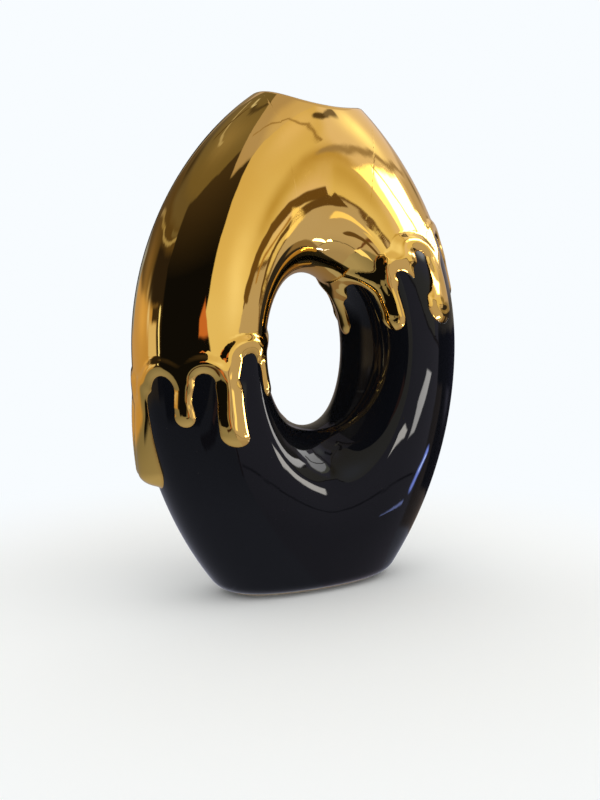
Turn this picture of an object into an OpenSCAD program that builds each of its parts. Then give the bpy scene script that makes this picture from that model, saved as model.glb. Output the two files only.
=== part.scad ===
// Ring-shaped ceramic flower vase: a hollow egg-shaped ring of clay with an oval hole through it,
// an open saddle mouth at the top, gloss glaze below and a thick metallic coat that runs down in
// drips from above.
//
// Millimetres, +Z up. The origin is the middle of the foot on the table, X runs across the ring
// and the front faces -Y.
//
// One surface carries every layer. skin(u, w) is a point of the bare clay's outer face: u is the
// angle round the ring as the front shows it, from +X up towards +Z, and w goes round the limb's
// section, from the hole's edge (0) over the front ridge to the outer edge (1), and from 0 over
// the back ridge to the same outer edge (-1). The layers are patches of this surface, thickened
// along its normals, so they meet face to face.

/* [Ring] */
// Width across the ring's outer edges
ring_w = 218.5; // [190:0.5:240]
// Height of the hole's centre, where the ring is widest
centre_h = 148.5; // [140:0.5:155]
// How far the egg-shaped outline would rise above the rim if the mouth didn't cut it
crown_over = 18.3; // [14:0.1:24]
// How far the outline would reach below the base if the base didn't cut it flat
keel_under = 43.1; // [36:0.1:52]
// Width of the hole
hole_w = 77; // [66:0.5:84]
// Height of the hole
hole_h = 98; // [84:0.5:106]
// Front-to-back depth of the side limbs
limb_d = 76; // [66:0.5:84]
// Front-to-back depth of the limb under the mouth
crown_d = 62; // [54:0.5:70]
// Front-to-back depth of the limb above the base
keel_d = 65.5; // [58:0.5:74]

/* [Mouth and wall] */
// Height of the clay rim at its two horns
rim_h = 298.2; // [290:0.1:304]
// How far the rim dips between the horns
rim_dip = 8.5; // [4:0.5:12]
// Thickness of the clay
wall = 4.5; // [3.5:0.1:5.5]

/* [Base] */
// Radius of the rounded edge round the base
base_edge_r = 6; // [5:0.5:8]
// Height of the bare standing ring
foot_h = 2; // [1:0.1:3]
// Width of the bare standing ring
foot_w = 6; // [4:0.5:8]
// How far the standing ring lies inside the flat of the base
foot_inset = 2; // [1:0.5:4]

/* [Glaze] */
// Thickness of the gloss glaze outside
glaze_t = 0.6; // [0.4:0.1:0.9]
// Thickness of the glaze inside
liner_t = 0.6; // [0.4:0.1:0.9]

/* [Gold coat] */
// Thickness of the coat away from its edge
coat_t = 1.3; // [1:0.1:1.8]
// Thickness of the coat where its edge stops on the clay
coat_edge_t = 1.2; // [1:0.1:1.6]
// Greatest thickness of the rolled bead along the coat's edge
bead_t = 3; // [2:0.1:3.4]
// Distance from the coat's edge to the top of the bead
bead_w = 6; // [4:0.1:7]
// Width of an ordinary drip
drip_w = 13; // [11:0.5:14]
// Thickness of an ordinary drip in the middle of its tip
drip_t = 3.4; // [2.6:0.1:4]
// How softly the drips flow out of the coat
drip_blend = 2.6; // [2:0.1:3.5]
// Width of an ordinary gap between two drips
gap_w = 12; // [10:0.5:14]
// How softly the gaps' corners are rounded
gap_blend = 1.2; // [1:0.1:2]
// How far the coat reaches down inside the mouth
band_h = 12; // [8:0.5:18]

/* [Hidden] */

// Roundness of the limb's section, and fullness of the outline above and below the centre
section_power = 2.2;
crown_power = 0.705;
keel_power = 0.695;

// How far the ridge lies from the hole's edge, as shares of the clay there: in a side limb, under
// the mouth and above the base
side_ridge_share = 0.2686;
crown_ridge_share = 0.3884;
keel_ridge_share = 0.516;

// Where the coat stops between its drips, as [w, height over the hole's centre as a share of the hole's]
left_level_shares = [
    [-1, -0.25], [-0.75, -0.16], [-0.5, -0.18], [-0.2, -0.12], [0, -0.06], [0.25, -0.03], [0.385, -0.11],
    [0.475, -0.2], [0.57, -0.24], [0.78, -0.25], [0.9, -0.25], [1, -0.25]
];
right_level_shares = [
    [-1, 0.4], [-0.8, 0.42], [-0.5, 0.36], [-0.25, 0.29], [0, 0.33], [0.12, 0.34], [0.25, 0.37],
    [0.39, 0.42], [0.43, 0.375], [0.52, 0.5], [0.62, 0.55], [0.76, 0.64], [0.9, 0.52], [1, 0.4]
];
// The drips, as [w at the top, w at the tip, height of the tip's end in the same shares, width as a
// share of drip_w, thickness as a share of drip_t]
left_drip_shares = [
    [0.99, 1.02, -0.82, 1.7, 3], [-0.9, -0.9, -0.81, 1.7, 3], [0.69, 0.697, -0.442, 0.96, 1],
    [0.48, 0.5, -0.56, 1.05, 1.1], [0.27, 0.262, -0.281, 0.85, 0.9], [-0.02, -0.02, -0.479, 1, 1],
    [-0.27, -0.28, -0.296, 0.85, 0.9], [-0.5, -0.49, -0.601, 1.1, 1.1], [-0.75, -0.76, -0.403, 0.9, 0.9]
];
right_drip_shares = [
    [-0.08, -0.08, 0.1, 1, 1], [0.255, 0.255, 0.115, 1.4, 1.2], [0.578, 0.57, 0.167, 1.65, 1.2],
    [0.87, 0.87, 0.359, 0.85, 0.9], [-0.93, -0.93, 0.085, 1.1, 1.05], [-0.70, -0.71, 0.283, 0.9, 0.95],
    [-0.50, -0.49, 0.024, 1.1, 1.05], [-0.28, -0.28, 0.207, 0.9, 0.95]
];
// The round-topped gaps between them, as [w at the top, w at the foot, height of the top in the same
// shares, width as a share of gap_w]
left_gap_shares = [
    [0.795, 0.812, -0.157, 1.34], [0.583, 0.597, -0.142, 0.89], [0.387, 0.4, -0.031, 0.75],
    [0.12, 0.12, 0.02, 1.5], [-0.145, -0.145, 0, 1], [-0.385, -0.385, -0.08, 1], [-0.625, -0.625, -0.06, 1.2]
];
right_gap_shares = [
    [0.105, 0.105, 0.413, 1.45], [0.395, 0.41, 0.484, 0.75], [0.52, 0.505, 0.622, 0.55],
    [0.49, 0.48, 0.53, 0.75], [0.75, 0.75, 0.75, 1], [0.98, 0.98, 0.52, 0.9], [-0.82, -0.82, 0.5, 1],
    [-0.6, -0.6, 0.45, 0.9], [-0.39, -0.39, 0.4, 1], [-0.18, -0.18, 0.39, 0.9]
];
// Share of a drip's width that its neck keeps
neck_share = 0.86;
// How much longer than round the tips of ordinary drips taper; thicker ones hang with blunter tips
tip_stretch = 2;
// Reach of the bead's fall to the plain coat, as a share of the bead's width, and its shape
fade_share = 0.8;
fade_power = 1.25;

// How softly the drips' own thickness joins the coat's
depth_blend = 0.25;

// The grid: steps round the ring through the mouth, down the right limb, along the base and up the left
mouth_steps = 10;
base_steps = 10;
fine_steps = [18, 17];
right_coarse_steps = [2, 4];
left_coarse_steps = [6, 2];
// Steps from the hole's edge to the ridge and from the ridge to the outer edge
ridge_steps = 8;
flank_steps = 14;
flank_crowding = 1.3;
// The same for the cavity
cavity_limb_steps = 8;
cavity_ridge_steps = 3;
cavity_flank_steps = 3;
lip_steps = 6;
// How far the fine rows reach past the coat's edge, in degrees
fine_margin = 4;
// Small steps for slopes, in degrees round the ring and round the section
step_u = 0.25;
step_turn = 1;

// Plain helpers
function mixed(a, b, s) = a + (b - a)*s;
function clamp(x, low, high) = max(low, min(high, x));
function unit(v) = v/norm(v);
function spread(a, b, n) = [for (k = [0:n - 1]) mixed(a, b, k/n)];
function eased(a, b, n) = [for (k = [0:n - 1]) mixed(a, b, (1 - cos(180*k/n))/2)];
function between(list, x) = let (i = clamp(floor(x), 0, len(list) - 2)) mixed(list[i], list[i + 1], x - i);
function turned(w) = w > 1 ? w - 2 : w < -1 ? w + 2 : w;
function quarter_arc(a, b) = PI/4*sqrt(2*(a*a + b*b));

// The clay stands on the glaze under it, which stands on the foot
base_z = foot_h + glaze_t;
// Reach of the outline above and below the centre, before the mouth and the base cut it
crown_r = rim_h - centre_h + crown_over;
keel_r = centre_h - base_z + keel_under;
// Distance of the ridge from the hole's edge in a side limb, under the mouth and above the base
ridge_side = side_ridge_share*(ring_w - hole_w)/2;
ridge_crown = crown_ridge_share*(rim_h - rim_dip - centre_h - hole_h/2);
ridge_keel = keel_ridge_share*(centre_h - base_z - hole_h/2);
// Where the outline meets the rim's horns and the base, round the ring
horn_a = asin((rim_h - centre_h)/crown_r);
toe_a = asin((centre_h - base_z)/keel_r);
horn_x = ring_w/2*pow(cos(horn_a), 2*crown_power);
// Half the base's width and depth before its edge is rounded
base_x = ring_w/2*pow(cos(toe_a), 2*keel_power);
keel_reach = keel_r - hole_h/2;
base_share = ((centre_h - base_z - hole_h/2) - ridge_keel)/(keel_reach - ridge_keel);
base_y = keel_d/2*pow(1 - pow(base_share, section_power), 1/section_power);
// Length of a side limb's face from the hole's edge to the outer edge, and the ridge's place on it
ridge_arc = quarter_arc(ridge_side, limb_d/2);
flank_arc = quarter_arc((ring_w - hole_w)/2 - ridge_side, limb_d/2);
limb_arc = ridge_arc + flank_arc;
ridge_share = ridge_arc/limb_arc;

// One ray from the hole's edge to the outline at angle u:
// [x and z at the hole's edge, dx and dz of the whole ray, ridge share, half depth, end share]
function ray(u) = let (
    s = sin(u), c = cos(u), up = s >= 0, k = s*s,
    hx = hole_w/2*c, hz = centre_h + hole_h/2*s,
    dx = ring_w/2*sign(c)*pow(abs(c), 2*(up ? crown_power : keel_power)) - hx,
    dz = ((up ? crown_r : keel_r) - hole_h/2)*s,
    ridge = mixed(ridge_side, up ? ridge_crown : ridge_keel, k)/norm([dx, dz]),
    depth = mixed(limb_d, up ? crown_d : keel_d, k)/2,
    bend = rim_dip/(horn_x*horn_x),
    a = bend*dx*dx, b = 2*bend*hx*dx - dz, g = rim_h - rim_dip + bend*hx*hx - hz,
    root = b*b - 4*a*g,
    end = up ? (root < 0 ? 1 : 2*g/(sqrt(root) - b)) : (base_z - hz)/dz
) [hx, hz, dx, dz, ridge, depth, end > 0 && end < 1 ? end : 1];

// The angle round the section at w: 0 at the hole's edge, 90 at the ridge, 180 at the outer edge,
// less where the ray is cut short. The back half is negative
function turn_at(u, w) = let (
    r = ray(u), v = turned(w), t = abs(v), m = r[4],
    full = asin(pow(clamp((r[6] - m)/(1 - m), 0, 1), section_power/2))
) sign(v)*(90*min(1, t/ridge_share) + full*clamp((t - ridge_share)/(1 - ridge_share), 0, 1));

// A point of the clay's outer face at that angle
function kept_sign(x, power) = sign(x)*pow(abs(x), power);
function placed(u, turn) = let (
    r = ray(u), m = r[4], e = 2/section_power, c = cos(turn),
    along = m - (c > 0 ? m : m - 1)*pow(abs(c), e),
    across = r[5]*kept_sign(sin(turn), e),
    z = r[1] + r[3]*along,
    lift = clamp((z - base_z)/base_edge_r, 0, 1),
    tuck = base_edge_r*(1 - sqrt(max(0, 1 - (1 - lift)*(1 - lift))))
) [(r[0] + r[2]*along)*(1 - tuck/base_x), -across*(1 - tuck/base_y), max(z, base_z)];
function skin(u, w) = placed(u, turn_at(u, w));

// The outward normal there, from the slopes of the face as it is before the mouth cuts it
function normal(u, w) = let (turn = turn_at(u, w)) unit(cross(
    placed(u + step_u, turn) - placed(u - step_u, turn),
    placed(u, turn - step_turn) - placed(u, turn + step_turn)));

// Height of a share of the hole's height over its centre
function height_of(share) = centre_h + share*hole_h;

// A round-ended strip at height z, from w1 at high to w2 at low, its ends longer than round by stretch:
// [share of the way down, distance from its middle line]
function strip(row, w, z, low, high, stretch = 1) = let (s = clamp((high - z)/(high - low), 0, 1))
    [s, norm([limb_arc*turned(w - mixed(row[0], row[1], s)), (z - clamp(z, low, high))/stretch])];

// One drip there: [distance to its edge, its own round's thickness], and the distance inside one gap
function drip(row, w, z, levels) = let (
    r = drip_w/2*row[3], level = height_of(lookup(row[0], levels)), end = height_of(row[2]),
    d = strip(row, w, z, end + r, level + r), taper = max(1, tip_stretch/row[4]),
    q = clamp(1 - strip(row, w, z, min(end + taper*r, level), level + r, taper)[1]/r, 0, 1)
) [d[1] - r*mixed(neck_share, 1, d[0]), drip_t*row[4]*d[0]*q*(2 - q)];
function in_gap(row, w, z, levels) = let (r = gap_w/2*row[3])
    r - strip(row, w, z, height_of(lookup(row[1], levels)) - r, height_of(row[2]) - r)[1];

// The coat at a point of the face: [distance to its edge, less than zero under the coat, and the
// drips' own thickness]
function total(list) = let (one = [for (x = list) 1]) list*one;
function coat(u, w) = let (
    p = skin(u, w), v = turned(w), left = p[0] < 0,
    levels = left ? left_level_shares : right_level_shares,
    sheet = height_of(lookup(v, levels)) - p[2]
) sheet < -2*drip_w || sheet > hole_h ? [sheet, 0] : let (
    drips = [for (row = left ? left_drip_shares : right_drip_shares) drip(row, v, p[2], levels)],
    gaps = [for (row = left ? left_gap_shares : right_gap_shares) in_gap(row, v, p[2], levels)],
    joined_up = -drip_blend*ln(exp(-sheet/drip_blend) + total([for (d = drips) exp(-d[0]/drip_blend)])),
    left_out = exp(joined_up/gap_blend) + total([for (g = gaps) exp(g/gap_blend)])
) [gap_blend*ln(left_out), max([for (d = drips) d[1]])];

// Thickness of the coat at a distance s inside its edge, where the drips' own thickness is own
function coat_depth(s, own) = let (
    flat = s < bead_w ? mixed(coat_edge_t, bead_t, 1 - pow(1 - s/bead_w, 2))
        : mixed(coat_t, bead_t, pow(max(0, cos(90*min(1, (s - bead_w)/(fade_share*bead_w)))), fade_power))
) depth_blend*ln(exp(flat/depth_blend) + exp(own/depth_blend) - 1);

// The angle at which the middle of a limb lies at a share of the hole's height over its centre, and
// the rows between the lowest tip and the highest level of the coat's edge on each side
function rise(share) = asin(clamp(2*share*hole_h/((share > 0 ? crown_r : keel_r) + hole_h/2), -1, 1));
function highest(levels) = rise(max([for (row = levels) row[1]])) + fine_margin;
function lowest(drips) = rise(min([for (row = drips) row[2]])) - fine_margin;
right_fine = [lowest(right_drip_shares), highest(right_level_shares)];
left_fine = [180 - highest(left_level_shares), 180 - lowest(left_drip_shares)];

// The grid's lines: angles round the ring, and places round the section from the outer edge in
// front over the hole's edge to the outer edge again behind
ring_lines = concat(
    eased(horn_a, 180 - horn_a, mouth_steps),
    spread(180 - horn_a, left_fine[0], left_coarse_steps[0]),
    spread(left_fine[0], left_fine[1], fine_steps[1]),
    spread(left_fine[1], 180 + toe_a, left_coarse_steps[1]),
    eased(180 + toe_a, 360 - toe_a, base_steps),
    spread(360 - toe_a, 360 + right_fine[0], right_coarse_steps[1]),
    spread(360 + right_fine[0], 360 + right_fine[1], fine_steps[0]),
    spread(360 + right_fine[1], 360 + horn_a, right_coarse_steps[0]),
    [360 + horn_a]);
rows = len(ring_lines) - 1;
toe_row = mouth_steps + left_coarse_steps[0] + fine_steps[1] + left_coarse_steps[1];
function section_lines(ridge_n, flank_n, crowding) = let (
    half = concat(spread(0, ridge_share, ridge_n),
        [for (k = [0:flank_n]) mixed(ridge_share, 1, 1 - pow(1 - k/flank_n, crowding))]),
    n = len(half) - 1
) concat([for (k = [0:n]) half[n - k]], [for (k = [1:n]) -half[k]]);
cols_at = section_lines(ridge_steps, flank_steps, flank_crowding);
cols = len(cols_at) - 1;

// u and w at a place between the grid's lines, where whole numbers are the lines
function u_at(i) = between(ring_lines, i);
function w_at(j) = j < 0 ? between(cols_at, j + cols) + 2 : j > cols ? between(cols_at, j - cols) - 2
    : between(cols_at, j);
function edge_at(i, j) = coat(u_at(i), w_at(j))[0];

// A grid place moved onto the coat's edge, straight across it
function settled(i, j, times = 3, h = 0.05) = times == 0 ? [i, j] : let (
    f = edge_at(i, j), g = [edge_at(i + h, j) - f, edge_at(i, j + h) - f]/h,
    move = -f*g/(g*g)
) settled(i + clamp(move[0], -0.5, 0.5), j + clamp(move[1], -0.5, 0.5), times - 1);

// The distance to the coat's edge at every grid place. The outer edge is one line, so the last
// column repeats the first, except where the mouth and the base cut the ring open
distances = [for (i = [0:rows - 1]) [for (j = [0:cols - 1]) coat(ring_lines[i], cols_at[j])[0]]];
function distance_at(i, j) = distances[(i + rows)%rows][(j + cols)%cols];
function crosses(f, g) = f*g < 0 && abs(f) <= abs(g);
function on_edge(i, j) = let (f = distance_at(i, j)) f == 0
    || crosses(f, distance_at(i + 1, j)) || crosses(f, distance_at(i - 1, j))
    || crosses(f, distance_at(i, j + 1)) || crosses(f, distance_at(i, j - 1))
    || crosses(f, distance_at(i + 1, j + 1)) || crosses(f, distance_at(i - 1, j - 1));

// Vertices of the outer face: [point, normal, side, coat thickness], where the side is -1 under the
// coat, 0 on its edge and 1 under the glaze
function in_mouth(i) = i > 0 && i < mouth_steps;
function in_base(i) = i > toe_row && i < toe_row + base_steps;
function vertex(u, w, side, thick) = [skin(u, w), normal(u, w), side, thick];
function row_of(i) = let (u = ring_lines[i]) concat(
    [for (j = [0:cols - 1]) let (w = cols_at[j], f = distances[i][j])
        in_mouth(i) ? vertex(u, w, -1, coat_t)
        : i >= toe_row && i <= toe_row + base_steps && j == 0 ? [skin(u, w), [0, 0, -1], 1, 0]
        : on_edge(i, j) ? let (s = settled(i, j)) vertex(u_at(s[0]), w_at(s[1]), 0, coat_edge_t)
        : vertex(u, w, sign(f), f < 0 ? coat_depth(-f, coat(u, w)[1]) : 0)],
    in_mouth(i) ? [vertex(u, -1, -1, coat_t)] : in_base(i) ? [[skin(u, -1), [0, 0, -1], 1, 0]] : []);
open_grid = [for (i = [0:rows - 1]) row_of(i)];
grid = [for (i = [0:rows]) let (r = open_grid[i%rows]) len(r) > cols ? r : concat(r, [r[0]])];

// Vertices of the cavity's face in the same form, on fewer lines
band_a = band_h/crown_r*180/PI;
cavity_lines = concat(
    eased(horn_a, 180 - horn_a, mouth_steps),
    [180 - horn_a], spread(180 - horn_a + band_a, 180 + toe_a, cavity_limb_steps),
    eased(180 + toe_a, 360 - toe_a, base_steps),
    spread(360 - toe_a, 360 + horn_a - band_a, cavity_limb_steps),
    [360 + horn_a - band_a, 360 + horn_a]);
cavity_rows = len(cavity_lines) - 1;
cavity_toe = mouth_steps + 1 + cavity_limb_steps;
// The coat's part inside the mouth takes the first two columns
band_share = band_h/(limb_arc*(rim_h - centre_h)/crown_r);
cavity_half = concat(spread(0, ridge_share, cavity_ridge_steps),
    spread(ridge_share, 1 - band_share, cavity_flank_steps), [1 - band_share, 1 - band_share/2, 1]);
half_n = len(cavity_half) - 1;
cavity_at = concat([for (k = [0:half_n]) cavity_half[half_n - k]], [for (k = [1:half_n]) -cavity_half[k]]);
cavity_cols = len(cavity_at) - 1;
function cavity_row(i) = let (u = cavity_lines[i],
    mouth = i > 0 && i < mouth_steps, base = i >= cavity_toe && i <= cavity_toe + base_steps,
    inner = i > cavity_toe && i < cavity_toe + base_steps)
    concat([for (j = [0:cavity_cols - 1]) let (w = cavity_at[j])
        base && j == 0 ? [skin(u, w), [0, 0, -1], 1, 0]
        : mouth ? vertex(u, w, -1, coat_t) : vertex(u, w, -1, coat_t)],
    mouth ? [vertex(u, -1, -1, coat_t)] : inner ? [[skin(u, -1), [0, 0, -1], 1, 0]] : []);
open_cavity = [for (i = [0:cavity_rows - 1]) cavity_row(i)];
cavity = [for (i = [0:cavity_rows]) let (r = open_cavity[i%cavity_rows])
    len(r) > cavity_cols ? r : concat(r, [r[0]])];

// A vertex raised by t along its normal
function raised(v, t) = v[0] + t*v[1];
function sheet_point(v, kind) =
    kind == "clay" ? v[0] : kind == "glaze" ? raised(v, glaze_t) : raised(v, v[3]);

// Which side a triangle of the outer face is on: under the coat, or under the glaze
function golden(t) = max(t[0][2], t[1][2], t[2][2]) <= 0;
function is_in(t, side) = side == "all" || (side == "coat") == golden(t);
function lower(i, j) = [grid[i][j], grid[i + 1][j], grid[i + 1][j + 1]];
function upper(i, j) = [grid[i][j], grid[i + 1][j + 1], grid[i][j + 1]];
function flipped(tris, flip) = flip ? [for (t = tris) [t[0], t[2], t[1]]] : tris;

// The outer face's triangles on one side, at one height
function face(side, kind, flip = false) = flipped(
    [for (i = [0:rows - 1], j = [0:cols - 1], t = [lower(i, j), upper(i, j)])
        if (is_in(t, side)) [for (v = t) sheet_point(v, kind)]], flip);

// The coat's edge as pairs of vertices, each pair in the direction of the coat's own triangle
function edge_of(a, b, own, beyond) =
    a[2] == 0 && b[2] == 0 && is_in(own, "coat") && !is_in(beyond, "coat") ? [[a, b]] : [];
coat_edges = [for (i = [0:rows - 1], j = [0:cols - 1]) let (
    a = grid[i][j], b = grid[i + 1][j], c = grid[i + 1][j + 1], d = grid[i][j + 1],
    low = lower(i, j), up = upper(i, j))
    each concat(
        edge_of(a, b, low, upper(i, (j + cols - 1)%cols)),
        edge_of(b, c, low, upper((i + 1)%rows, j)),
        edge_of(c, a, low, up),
        edge_of(a, c, up, low),
        edge_of(c, d, up, lower(i, (j + 1)%cols)),
        edge_of(d, a, up, lower((i + rows - 1)%rows, j)))];

// A strip between two rows of points, and a wall that rises along an edge
function quad(a, b, c, d) = [[a, b, c], [a, c, d]];
function wall_at(edge, low, high) = quad(raised(edge[0], low), raised(edge[1], low),
    raised(edge[1], high), raised(edge[0], high));
function edge_wall(low, high, flip = false) = flipped(
    [for (e = coat_edges) each wall_at(e, low, high)], flip);

// The cavity's face at a depth below the clay's outer face. The coat's part of it is the rows of the
// mouth and one more at each end, over the first two columns of each side
function in_band(i, j) = (i <= mouth_steps || i == cavity_rows - 1)
    && (j < 2 || j >= cavity_cols - 2);
function band_wanted(i, j, side) = side == "all" || (side == "coat") == in_band(i, j);
function inner_face(side, deep, flip = false) = flipped(
    [for (i = [0:cavity_rows - 1], j = [0:cavity_cols - 1]) if (band_wanted(i, j, side))
        let (a = cavity[i][j], b = cavity[i + 1][j], c = cavity[i + 1][j + 1], d = cavity[i][j + 1])
        each quad(raised(a, -deep), raised(b, -deep), raised(c, -deep), raised(d, -deep))], flip);
// The depth of the coat inside the mouth thins to the liner's along its lower edge
function band_depth(i, j) = let (
    past_end = i > mouth_steps && i < cavity_rows,
    last_column = j == 2 || j == cavity_cols - 2
) wall + (past_end || last_column ? liner_t : coat_t);
function band_point(i, j) = raised(cavity[i][j], -band_depth(i, j));
function band_face(flip = false) = flipped(
    [for (i = [0:cavity_rows - 1], j = [0:cavity_cols - 1]) if (in_band(i, j)) each quad(
        band_point(i, j), band_point(i + 1, j), band_point(i + 1, j + 1), band_point(i, j + 1))], flip);
// Walls round the band's lower edge, seen from the liner
function band_edge(a, b) = let (low = -wall - liner_t)
    quad(raised(a, -wall), raised(b, -wall), raised(b, low), raised(a, low));
function band_walls(flip = false) = let (
    first = cavity[mouth_steps + 1], last = cavity[cavity_rows - 1], back = cavity_cols - 2
) flipped(concat(
    [for (i = [0:cavity_rows - 1]) if (i <= mouth_steps || i == cavity_rows - 1) each concat(
        band_edge(cavity[i + 1][2], cavity[i][2]), band_edge(cavity[i][back], cavity[i + 1][back]))],
    [for (j = [0, 1, back, back + 1]) each concat(
        band_edge(first[j], first[j + 1]), band_edge(last[j + 1], last[j]))]), flip);

// The lip: half circles from the outer rim over the top to the rim of the cavity
function lip_point(v, k, extra) = let (
    n = v[1], up = unit([0, 0, 1] - n[2]*n), a = 180*k/lip_steps)
    v[0] - wall/2*n + (wall/2 + extra)*(cos(a)*n + sin(a)*up);
function lip_quad(a, b, k, extra) = quad(
    lip_point(a, k, extra), lip_point(b, k, extra), lip_point(b, k + 1, extra), lip_point(a, k + 1, extra));
function lip(extra, flip = false) = flipped([for (i = [0:mouth_steps - 1], k = [0:lip_steps - 1]) let (
    f = grid[i][0], g = grid[i + 1][0], r = grid[i][cols], s = grid[i + 1][cols])
    each concat(lip_quad(g, f, k, extra), lip_quad(r, s, k, extra))], flip);

// The flat under the base at a height above the clay's, and the cavity's floor
function flat(rows_of, first, n, t, flip = false) = flipped([for (i = [first:first + base_steps - 1]) let (
    f = rows_of[i][0], g = rows_of[i + 1][0], r = rows_of[i][n], s = rows_of[i + 1][n])
    each quad(raised(g, t), raised(f, t), raised(r, t), raised(s, t))], flip);

// Triangles, each seen from outside against the clock, as one closed solid. Those that close up to a
// line at the ends of the mouth and the base are left out
function sound(t) = norm(t[0] - t[1]) > 0 && norm(t[1] - t[2]) > 0 && norm(t[2] - t[0]) > 0;
module solid(tris) {
    kept = [for (t = tris) if (sound(t)) t];
    polyhedron(
        points = [for (t = kept) each t],
        faces = [for (k = [0:len(kept) - 1]) [3*k, 3*k + 2, 3*k + 1]]);
}

// The fired clay: a hollow ring, open only at the mouth
module ceramic_body() {
    color("antiquewhite") solid(concat(
        face("all", "clay"), lip(0), flat(grid, toe_row, cols, 0),
        inner_face("all", wall, true), flat(cavity, cavity_toe, cavity_cols, -wall, true)));
}

// An oval, fuller than an ellipse like the limb's section, as wide as the flat of the base less an inset
module foot_outline(inset) {
    a = base_x - base_edge_r - inset;
    b = base_y - base_edge_r - inset;
    polygon([for (t = [0:3:357]) [a*kept_sign(cos(t), 2/section_power), b*kept_sign(sin(t), 2/section_power)]]);
}

// The bare ring that the vase stands on
module foot_ring() {
    color("tan") linear_extrude(foot_h) difference() {
        foot_outline(foot_inset);
        foot_outline(foot_inset + foot_w);
    }
}

// Gloss glaze from the coat's edge down and under the base
module black_glaze() {
    color("#16181d") solid(concat(
        face("glaze", "glaze"), flat(grid, toe_row, cols, glaze_t),
        face("glaze", "clay", true), flat(grid, toe_row, cols, 0, true),
        edge_wall(0, glaze_t, true)));
}

// Glaze inside, from the coat's lower edge in the mouth to the floor
module liner_glaze() {
    color("#24262b") solid(concat(
        inner_face("glaze", wall), flat(cavity, cavity_toe, cavity_cols, -wall),
        inner_face("glaze", wall + liner_t, true),
        flat(cavity, cavity_toe, cavity_cols, -wall - liner_t, true),
        band_walls()));
}

// The metallic coat: over the crown and down both limbs in drips, over the lip and into the mouth
module gold_drip_coat() {
    color("goldenrod") solid(concat(
        face("coat", "coat"), lip(coat_t), band_face(true),
        face("coat", "clay", true), lip(0, true), inner_face("coat", wall),
        edge_wall(0, glaze_t), edge_wall(glaze_t, coat_edge_t),
        band_walls(true)));
}

ceramic_body();
foot_ring();
black_glaze();
liner_glaze();
gold_drip_coat();
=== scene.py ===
"""A ring-shaped ceramic vase: black gloss glaze below, thick gold lustre above that runs in drips.

Lengths are millimetres until a mesh is made. The clay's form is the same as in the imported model:
one surface, skin(u, w), where u is the angle round the ring from +X up towards +Z, in degrees, and
w goes round the limb's section, from the hole's edge (0) over the front to the outer edge (1), and
from 0 over the back to the same outer edge (-1). The fired layers are patches of it, thickened. The
coat's edge, bead and drips are up to half a millimetre thinner here, so they stay inside the model.
"""

import math

import bpy
import numpy as np
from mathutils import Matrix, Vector


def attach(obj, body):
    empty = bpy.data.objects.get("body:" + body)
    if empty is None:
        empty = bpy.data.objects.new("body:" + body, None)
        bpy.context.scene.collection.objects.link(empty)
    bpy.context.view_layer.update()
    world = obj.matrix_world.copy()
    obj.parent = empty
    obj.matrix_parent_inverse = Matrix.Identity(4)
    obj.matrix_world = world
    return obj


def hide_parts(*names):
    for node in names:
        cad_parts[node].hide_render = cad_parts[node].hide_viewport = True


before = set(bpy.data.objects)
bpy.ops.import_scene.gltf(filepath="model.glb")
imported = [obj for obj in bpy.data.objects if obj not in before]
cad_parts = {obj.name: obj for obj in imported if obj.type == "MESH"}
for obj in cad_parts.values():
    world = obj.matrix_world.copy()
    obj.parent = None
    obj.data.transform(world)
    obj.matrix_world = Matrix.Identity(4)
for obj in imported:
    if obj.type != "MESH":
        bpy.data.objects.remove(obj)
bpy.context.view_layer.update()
MM = 0.001

# The ring's outline, hole and section
RING_W, CENTRE_H, CROWN_OVER, KEEL_UNDER = 218.5, 148.5, 18.3, 43.1
HOLE_W, HOLE_H = 77.0, 98.0
LIMB_D, CROWN_D, KEEL_D = 76.0, 62.0, 65.5
RIM_H, RIM_DIP, WALL = 298.2, 8.5, 4.5
BASE_EDGE_R, FOOT_H, FOOT_W, FOOT_INSET = 6.0, 2.0, 6.0, 2.0
SECTION_POWER, CROWN_POWER, KEEL_POWER = 2.2, 0.705, 0.695
# How far the ridge lies from the hole's edge, as shares of the clay there
SIDE_RIDGE_SHARE, CROWN_RIDGE_SHARE, KEEL_RIDGE_SHARE = 0.2686, 0.3884, 0.516

# The fired layers
GLAZE_T, LINER_T, COAT_T, COAT_EDGE_T = 0.6, 0.6, 1.3, 0.7
BEAD_T, BEAD_W, FADE_SHARE, FADE_POWER = 2.75, 6.0, 0.8, 1.25
DRIP_W, DRIP_T, DRIP_BLEND, NECK_SHARE, TIP_STRETCH = 13.0, 3.25, 2.6, 0.86, 2.0
GAP_W, GAP_BLEND = 12.0, 1.2
DEPTH_BLEND = 0.25
# How far the coat goes down into the mouth, and its thickness on the lip as a share of COAT_T
BAND_H, LIP_SHARE = 12.0, 0.9

# Where the coat stops between its drips: w and the height over the hole's centre as a share of the
# hole's height
LEFT_LEVELS = np.array([
    [-1, -0.25], [-0.75, -0.16], [-0.5, -0.18], [-0.2, -0.12], [0, -0.06], [0.25, -0.03], [0.385, -0.11],
    [0.475, -0.2], [0.57, -0.24], [0.78, -0.25], [0.9, -0.25], [1, -0.25]])
RIGHT_LEVELS = np.array([
    [-1, 0.4], [-0.8, 0.42], [-0.5, 0.36], [-0.25, 0.29], [0, 0.33], [0.12, 0.34], [0.25, 0.37],
    [0.39, 0.42], [0.43, 0.375], [0.52, 0.5], [0.62, 0.55], [0.76, 0.64], [0.9, 0.52], [1, 0.4]])
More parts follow.
